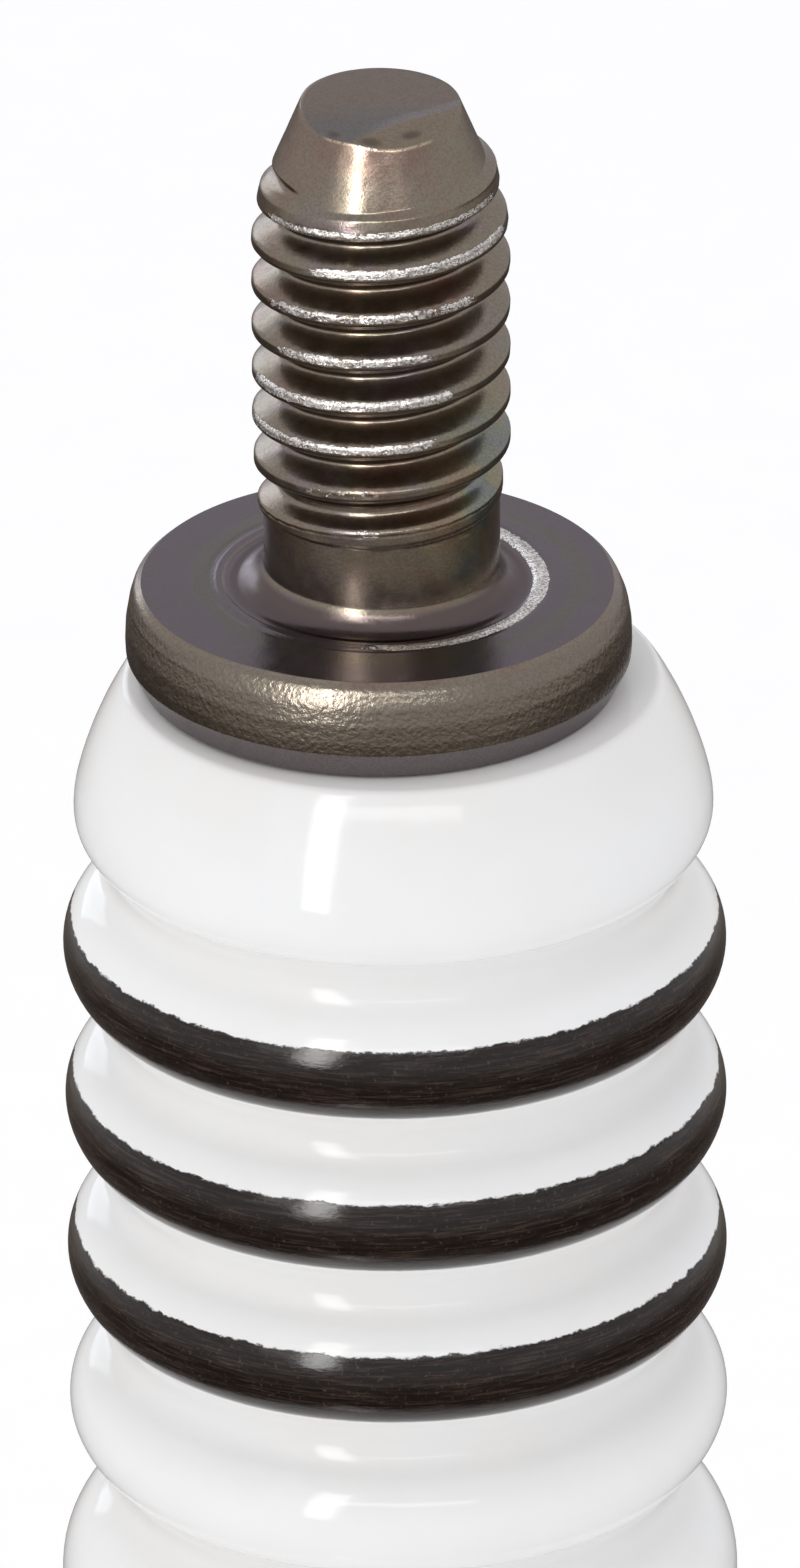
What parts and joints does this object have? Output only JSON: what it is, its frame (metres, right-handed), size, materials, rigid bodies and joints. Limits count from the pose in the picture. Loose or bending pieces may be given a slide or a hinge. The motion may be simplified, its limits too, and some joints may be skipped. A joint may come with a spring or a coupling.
{
  "type": "spark plug",
  "caption": "Small-engine spark plug with a ribbed, banded insulator, bare threaded terminal stud, hexagon shell, long threaded neck, crush gasket and hooked ground electrode.",
  "frame": {"origin": "on the plug's axis, in the plane of the shell's gasket seat", "axes": "+Z along the axis to the terminal; +X towards the ground electrode's welded leg; +Y square to one of the hexagon's flats"},
  "size_m": [0.0202, 0.0176, 0.0733],
  "materials": {
    "terminal_steel": "satin",
    "glazed_alumina": "gloss",
    "plated_shell": "satin",
    "gasket_steel": "satin",
    "nickel_alloy": "satin",
    "copper_core": "satin",
    "copper_glass": "matte",
    "carbon_resistor": "matte",
    "talc_powder": "matte"
  },
  "bodies": {
    "plug": {"terminal_stud": "terminal_steel", "insulator": "glazed_alumina", "upper_glass_seal": "copper_glass", "resistor": "carbon_resistor", "lower_glass_seal": "copper_glass", "centre_electrode_sheath": "nickel_alloy", "centre_electrode_core": "copper_core", "metal_shell": "plated_shell", "upper_packing_ring": "gasket_steel", "talc_packing": "talc_powder", "lower_packing_ring": "gasket_steel", "inner_seat_gasket": "gasket_steel", "ground_electrode": "nickel_alloy"},
    "gasket": {"outer_gasket": "gasket_steel"}
  },
  "joints": [
    {"name": "gasket_spin", "type": "hinge", "parent": "plug", "child": "gasket", "pos_m": [0, 0, -0.001], "axis": [0, 0, 1], "continuous": true}
  ]
}
